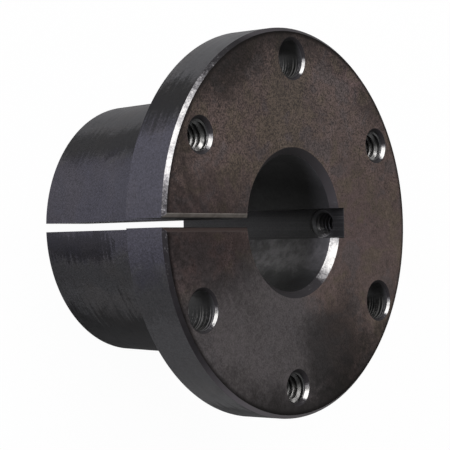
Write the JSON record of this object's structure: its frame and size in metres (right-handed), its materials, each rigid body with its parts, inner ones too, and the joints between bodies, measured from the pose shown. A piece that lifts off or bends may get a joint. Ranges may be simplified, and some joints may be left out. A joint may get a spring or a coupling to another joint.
{
  "type": "quick disconnect bushing",
  "caption": "Flanged split bushing with a tapered barrel, keyed bore, plain and tapped flange holes and a radial set-screw hole.",
  "frame": {"origin": "centre of the barrel's small end face, on the axis of the bore", "axes": "+Z along the bore from the small end to the flange face; +X towards the keyway, with the split at -X"},
  "size_m": [0.081, 0.081, 0.046],
  "materials": {
    "bushing": "black oxide on turned surfaces"
  },
  "bodies": {
    "root": {"bushing": "bushing"}
  },
  "joints": []
}
